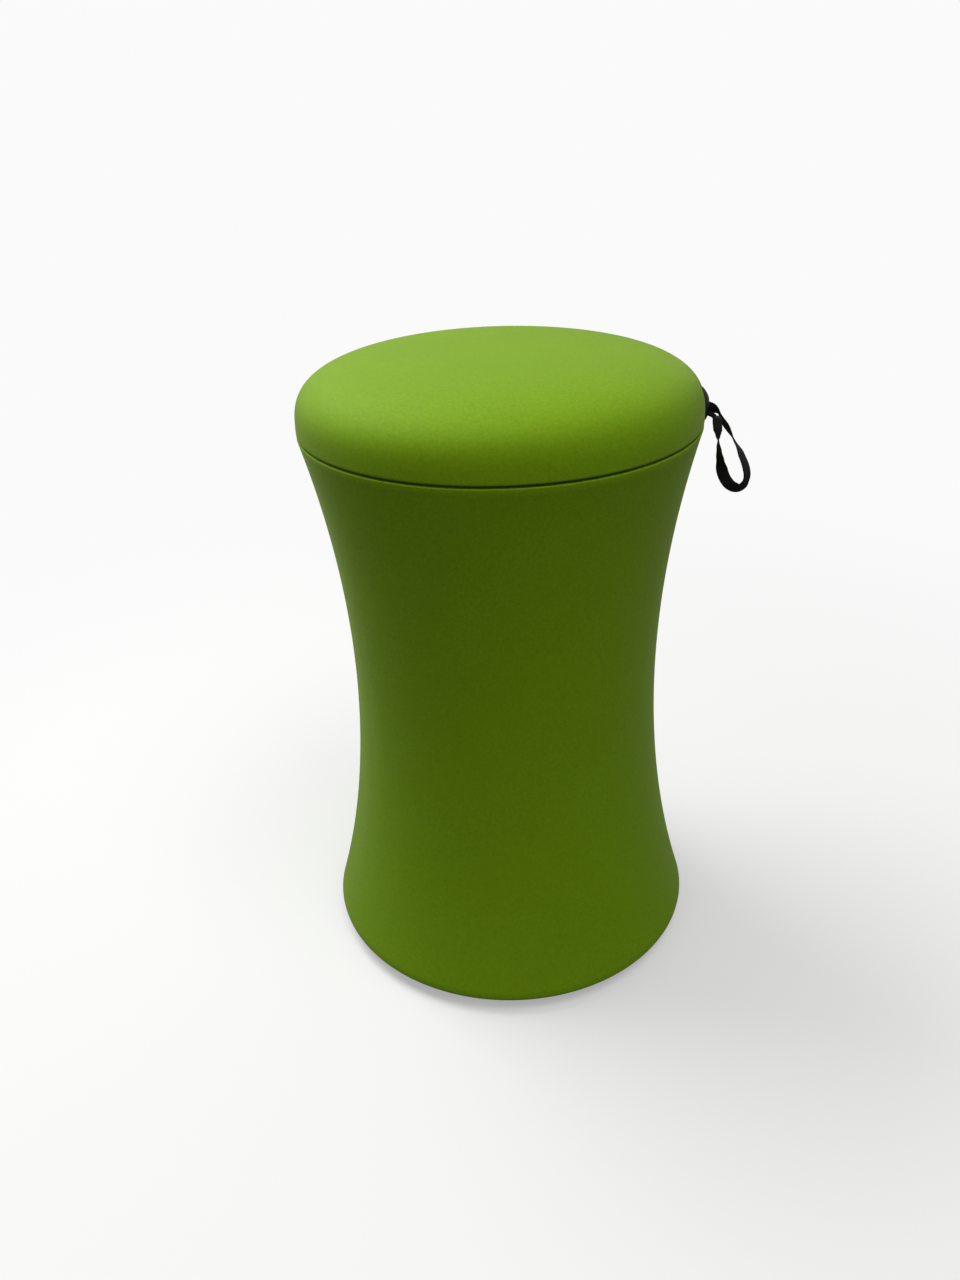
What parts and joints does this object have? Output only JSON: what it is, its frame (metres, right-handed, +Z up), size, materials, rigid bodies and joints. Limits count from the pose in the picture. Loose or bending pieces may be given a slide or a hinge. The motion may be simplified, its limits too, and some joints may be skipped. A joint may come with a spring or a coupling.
{
  "type": "height-adjustable wobble stool",
  "caption": "Padded round seat on an hourglass knit-covered gas lift with a convex non-slip foot; a webbing loop at the seat's side releases the lift.",
  "frame": {"origin": "on the floor under the stool's vertical axis", "axes": "+Z up along the lift, +X through the strap's guide in the seat's side, front at -Y"},
  "size_m": [0.3981, 0.367, 0.582],
  "materials": {
    "seat_knit": "matte",
    "sleeve_knit": "matte",
    "hem_cord": "matte",
    "foam": "matte",
    "foot_rubber": "matte",
    "seal_rubber": "satin",
    "moulded_black": "matte",
    "guide_black": "satin",
    "acetal": "satin",
    "steel_black": "satin",
    "steel_bright": "satin",
    "chromed_rod": "polished",
    "aluminium": "satin",
    "brass": "satin",
    "webbing": "matte"
  },
  "bodies": {
    "base": {"foot_dome": "foot_rubber", "base_shell": "moulded_black", "rim_cord": "hem_cord", "ballast_plate": "steel_black", "column_socket": "steel_black", "socket_screws": "steel_bright", "column_tube": "steel_black", "guide_bush": "acetal", "rod_bearing": "steel_bright", "piston_rod": "chromed_rod", "rod_clip": "steel_bright", "piston": "aluminium", "piston_seal": "seal_rubber", "stretch_sleeve": "sleeve_knit"},
    "lift": {"cover_hoop": "aluminium", "hoop_cord": "hem_cord", "hoop_carrier": "moulded_black", "carrier_screws": "steel_bright", "swivel_bush": "acetal"},
    "seat": {"gas_cylinder": "chromed_rod", "cylinder_gland": "acetal", "valve_block": "brass", "seat_hub": "steel_black", "thrust_washer": "acetal", "hub_circlip": "steel_bright", "seat_pan": "moulded_black", "thread_inserts": "brass", "plate_screws": "steel_bright", "seat_foam": "foam", "seat_cover": "seat_knit", "clamp_ring": "moulded_black", "strap_guide": "guide_black", "lever_pin": "steel_bright", "lever_clips": "steel_bright"},
    "release_lever": {"release_lever": "steel_bright", "strap_pin": "steel_bright"},
    "valve_pin": {"valve_pin": "brass"},
    "pull_strap": {"inner_strap": "webbing", "strap_loop": "webbing", "loop_keeper": "guide_black"}
  },
  "joints": [
    {"name": "lift_slide", "type": "slide", "parent": "base", "child": "lift", "axis": [0, 0, 1], "range_m": [-0.13, 0], "deforming": ["stretch_sleeve"]},
    {"name": "seat_swivel", "type": "hinge", "parent": "lift", "child": "seat", "pos_m": [0, 0, 0.49], "axis": [0, 0, 1], "continuous": true},
    {"name": "lever_pivot", "type": "hinge", "parent": "seat", "child": "release_lever", "pos_m": [0.034, 0, 0.539], "axis": [0, 1, 0], "range_deg": [-6.8, 0]},
    {"name": "valve_travel", "type": "slide", "parent": "seat", "child": "valve_pin", "axis": [0, 0, 1], "range_m": [-0.004, 0], "stiffness_N_per_m": 20, "springref_m": 0.0041},
    {"name": "strap_pull", "type": "slide", "parent": "seat", "child": "pull_strap", "axis": [0.9894, 0, 0.1455], "range_m": [0, 0.00285], "stiffness_N_per_m": 3000}
  ],
  "couplings": [
    {"joint": "lever_pivot", "follows": "strap_pull", "rad_per_m": -41.64},
    {"joint": "valve_travel", "follows": "strap_pull", "ratio": -1.4032}
  ]
}
